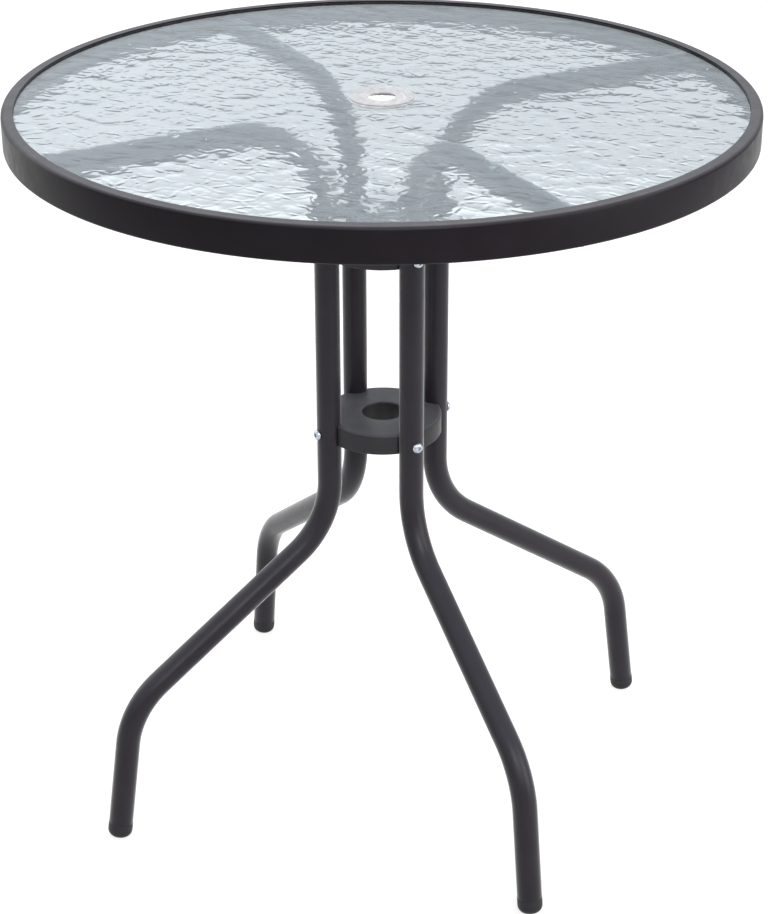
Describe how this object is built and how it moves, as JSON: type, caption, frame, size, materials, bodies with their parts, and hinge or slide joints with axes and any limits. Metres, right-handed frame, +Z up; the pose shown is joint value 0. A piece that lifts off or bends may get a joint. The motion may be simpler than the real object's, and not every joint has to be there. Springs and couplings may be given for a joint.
{
  "type": "umbrella table",
  "caption": "Round patio bistro table: rippled glass top in a rolled steel rim, bent tube legs bolted to round hubs, centre hole and ring for an umbrella pole.",
  "frame": {"origin": "on the floor under the middle of the table", "axes": "+Z up along the axis of the top and of the umbrella pole, -Y towards someone who sits between two legs; the legs stand on the diagonals"},
  "size_m": [0.7, 0.7, 0.728],
  "materials": {
    "frame_paint": "satin powder coat",
    "leg_paint": "satin powder coat",
    "stub_steel": "satin powder coat",
    "glass": "clear, rippled below",
    "silicone": "satin",
    "ring_plastic": "translucent",
    "pad_rubber": "clear, soft",
    "hub_plastic": "satin",
    "cap_plastic": "matte",
    "zinc": "bright zinc plate"
  },
  "bodies": {
    "root": {"arm_screws": "zinc", "foot_cap_back_left": "cap_plastic", "foot_cap_back_right": "cap_plastic", "foot_cap_front_left": "cap_plastic", "foot_cap_front_right": "cap_plastic", "glass_pads": "pad_rubber", "glass_seal": "silicone", "glass_top": "glass", "leg_back_left": "leg_paint", "leg_back_right": "leg_paint", "leg_front_left": "leg_paint", "leg_front_right": "leg_paint", "lower_hub": "hub_plastic", "lower_hub_bolts": "zinc", "lower_hub_nuts": "zinc", "rim": "frame_paint", "rim_stub_back_left": "stub_steel", "rim_stub_back_right": "stub_steel", "rim_stub_front_left": "stub_steel", "rim_stub_front_right": "stub_steel", "umbrella_ring": "ring_plastic", "upper_hub": "hub_plastic", "upper_hub_bolts": "zinc", "upper_hub_nuts": "zinc"}
  },
  "joints": []
}
